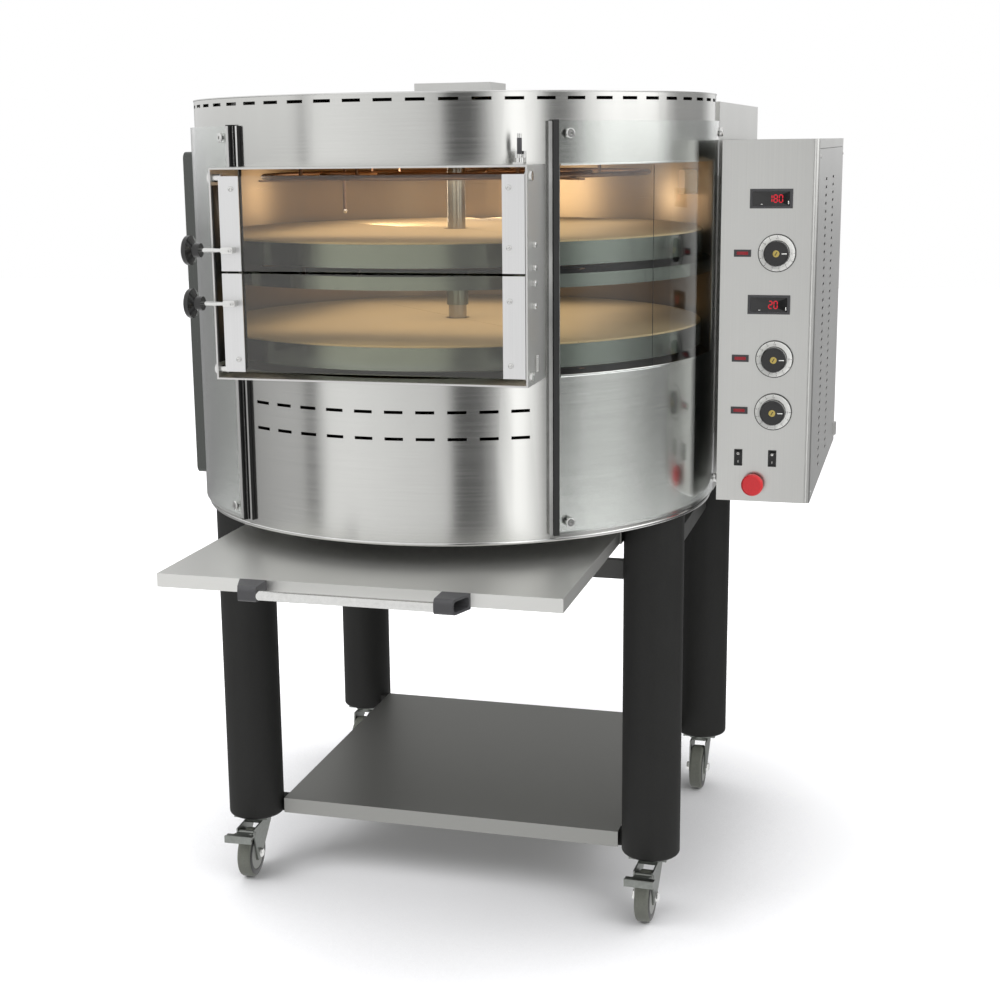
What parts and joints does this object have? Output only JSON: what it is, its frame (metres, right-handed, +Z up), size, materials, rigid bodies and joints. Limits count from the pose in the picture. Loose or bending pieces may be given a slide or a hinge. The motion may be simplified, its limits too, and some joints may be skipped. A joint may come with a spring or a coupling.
{
  "type": "rotating pizza oven",
  "caption": "Round baking oven with turning stone decks, curved glass sides, glass doors hinged above and below, a control cabinet and a castor stand with a pull-out shelf.",
  "frame": {"origin": "on the floor, under the middle of the part's bounding box, with the pull-out shelf out", "axes": "+Z up, the doors and the control panel face -Y, the control cabinet is on +X"},
  "size_m": [1.25, 1.4694, 1.61],
  "materials": {
    "stainless": "satin",
    "stainless_dark": "satin",
    "black_paint": "satin",
    "grey_paint": "satin",
    "zinc": "satin",
    "bright_steel": "polished",
    "machined_steel": "satin",
    "cast_iron": "matte",
    "grey_rubber": "matte",
    "black_rubber": "matte",
    "curved_glass": "gloss",
    "door_glass": "gloss",
    "firebrick": "matte",
    "mineral_wool": "matte",
    "heater_sheath": "matte",
    "black_plastic": "matte",
    "gloss_black_plastic": "gloss",
    "red_plastic": "gloss",
    "lamp_glass": "gloss"
  },
  "bodies": {
    "oven": {"base_plate": "stainless", "cabinet_shell": "stainless", "cabinet_side_cover": "stainless", "cap_bolts": "zinc", "castor_plates": "zinc", "chamber_liner": "stainless_dark", "control_panel": "stainless", "door_frame": "stainless", "gear_motor": "grey_paint", "glass_gaskets": "black_rubber", "heating_elements": "heater_sheath", "insulation": "mineral_wool", "left_cover": "stainless", "legs": "black_paint", "lower_shelf": "stainless", "middle_heat_shield": "stainless_dark", "outer_shell": "stainless", "oven_lamp": "lamp_glass", "panel_displays": "gloss_black_plastic", "panel_fittings": "black_plastic", "rear_access_panel": "stainless", "rear_casing": "stainless", "roof_panel": "stainless", "shaft_bearings": "cast_iron", "shelf_runners": "black_paint", "side_glass_panes": "curved_glass", "stand_rails": "black_paint", "steam_vent": "stainless"},
    "turntable": {"turntable_shaft": "machined_steel", "deck_pans": "stainless", "deck_stones": "firebrick", "driven_gear": "machined_steel"},
    "motor_drive": {"motor_pinion": "machined_steel"},
    "upper_door": {"upper_door_bands": "stainless", "upper_door_glass": "door_glass", "upper_handle_knob": "black_plastic", "upper_handle_rod": "zinc"},
    "lower_door": {"lower_door_bands": "stainless", "lower_door_glass": "door_glass", "lower_handle_knob": "black_plastic", "lower_handle_rod": "zinc"},
    "pull_out": {"pull_out_shelf": "stainless", "handle_tube": "bright_steel", "handle_ends": "black_plastic"},
    "emergency_stop": {"emergency_button": "red_plastic"},
    "dial_1": {"dial_knob_1": "black_plastic"},
    "dial_2": {"dial_knob_2": "black_plastic"},
    "dial_3": {"dial_knob_3": "black_plastic"},
    "rocker_left": {"rocker_switch_left": "gloss_black_plastic"},
    "rocker_right": {"rocker_switch_right": "gloss_black_plastic"},
    "fork_front_left": {"castor_fork_front_left": "zinc"},
    "wheel_front_left": {"castor_wheel_front_left": "grey_rubber"},
    "fork_front_right": {"castor_fork_front_right": "zinc"},
    "wheel_front_right": {"castor_wheel_front_right": "grey_rubber"},
    "fork_rear_left": {"castor_fork_rear_left": "zinc"},
    "wheel_rear_left": {"castor_wheel_rear_left": "grey_rubber"},
    "fork_rear_right": {"castor_fork_rear_right": "zinc"},
    "wheel_rear_right": {"castor_wheel_rear_right": "grey_rubber"},
    "pedal_left": {"brake_pedal_front_left": "zinc"},
    "pedal_right": {"brake_pedal_front_right": "zinc"}
  },
  "joints": [
    {"name": "turntable_spin", "type": "hinge", "parent": "oven", "child": "turntable", "pos_m": [-0.082, -0.03675, 0.82], "axis": [0, 0, 1], "continuous": true},
    {"name": "motor_spin", "type": "hinge", "parent": "oven", "child": "motor_drive", "pos_m": [-0.082, 0.12325, 0.94], "axis": [0, 0, 1], "continuous": true},
    {"name": "upper_door_hinge", "type": "hinge", "parent": "oven", "child": "upper_door", "pos_m": [-0.082, -0.56775, 1.444], "axis": [-1, 0, 0], "range_deg": [0, 88]},
    {"name": "lower_door_hinge", "type": "hinge", "parent": "oven", "child": "lower_door", "pos_m": [-0.082, -0.56775, 1.119], "axis": [1, 0, 0], "range_deg": [0, 90]},
    {"name": "pull_out_slide", "type": "slide", "parent": "oven", "child": "pull_out", "axis": [0, 1, 0], "range_m": [0, 0.436]},
    {"name": "dial_1_turn", "type": "hinge", "parent": "oven", "child": "dial_1", "pos_m": [0.5485, -0.11675, 1.293], "axis": [0, 1, 0], "range_deg": [0, 270]},
    {"name": "dial_2_turn", "type": "hinge", "parent": "oven", "child": "dial_2", "pos_m": [0.5485, -0.11675, 1.099], "axis": [0, 1, 0], "range_deg": [0, 270]},
    {"name": "dial_3_turn", "type": "hinge", "parent": "oven", "child": "dial_3", "pos_m": [0.5485, -0.11675, 1.0005], "axis": [0, 1, 0], "range_deg": [0, 270]},
    {"name": "rocker_left_tilt", "type": "hinge", "parent": "oven", "child": "rocker_left", "pos_m": [0.486, -0.11575, 0.912], "axis": [-1, 0, 0], "range_deg": [0, 14]},
    {"name": "rocker_right_tilt", "type": "hinge", "parent": "oven", "child": "rocker_right", "pos_m": [0.549, -0.11575, 0.912], "axis": [-1, 0, 0], "range_deg": [0, 14]},
    {"name": "emergency_push", "type": "slide", "parent": "oven", "child": "emergency_stop", "axis": [0, 1, 0], "range_m": [0, 0.005]},
    {"name": "swivel_front_left", "type": "hinge", "parent": "oven", "child": "fork_front_left", "pos_m": [-0.5005, -0.16575, 0.125], "axis": [0, 0, 1], "continuous": true},
    {"name": "roll_front_left", "type": "hinge", "parent": "fork_front_left", "child": "wheel_front_left", "pos_m": [-0.4982, -0.20969, 0.05], "axis": [0.9986, 0.0523, 0], "continuous": true},
    {"name": "brake_left", "type": "hinge", "parent": "fork_front_left", "child": "pedal_left", "pos_m": [-0.49694, -0.23366, 0.102], "axis": [0.9986, 0.0523, 0], "range_deg": [0, 20]},
    {"name": "swivel_front_right", "type": "hinge", "parent": "oven", "child": "fork_front_right", "pos_m": [0.3365, -0.16575, 0.125], "axis": [0, 0, 1], "continuous": true},
    {"name": "roll_front_right", "type": "hinge", "parent": "fork_front_right", "child": "wheel_front_right", "pos_m": [0.33535, -0.20974, 0.05], "axis": [0.9997, -0.0262, 0], "continuous": true},
    {"name": "brake_right", "type": "hinge", "parent": "fork_front_right", "child": "pedal_right", "pos_m": [0.33472, -0.23373, 0.102], "axis": [0.9997, -0.0262, 0], "range_deg": [0, 20]},
    {"name": "swivel_rear_left", "type": "hinge", "parent": "oven", "child": "fork_rear_left", "pos_m": [-0.5005, 0.54225, 0.125], "axis": [0, 0, 1], "continuous": true},
    {"name": "roll_rear_left", "type": "hinge", "parent": "fork_rear_left", "child": "wheel_rear_left", "pos_m": [-0.5005, 0.49825, 0.05], "axis": [1, 0, 0], "continuous": true},
    {"name": "swivel_rear_right", "type": "hinge", "parent": "oven", "child": "fork_rear_right", "pos_m": [0.3365, 0.54225, 0.125], "axis": [0, 0, 1], "continuous": true},
    {"name": "roll_rear_right", "type": "hinge", "parent": "fork_rear_right", "child": "wheel_rear_right", "pos_m": [0.3365, 0.49825, 0.05], "axis": [1, 0, 0], "continuous": true}
  ],
  "couplings": [
    {"joint": "motor_spin", "follows": "turntable_spin", "ratio": -3}
  ]
}
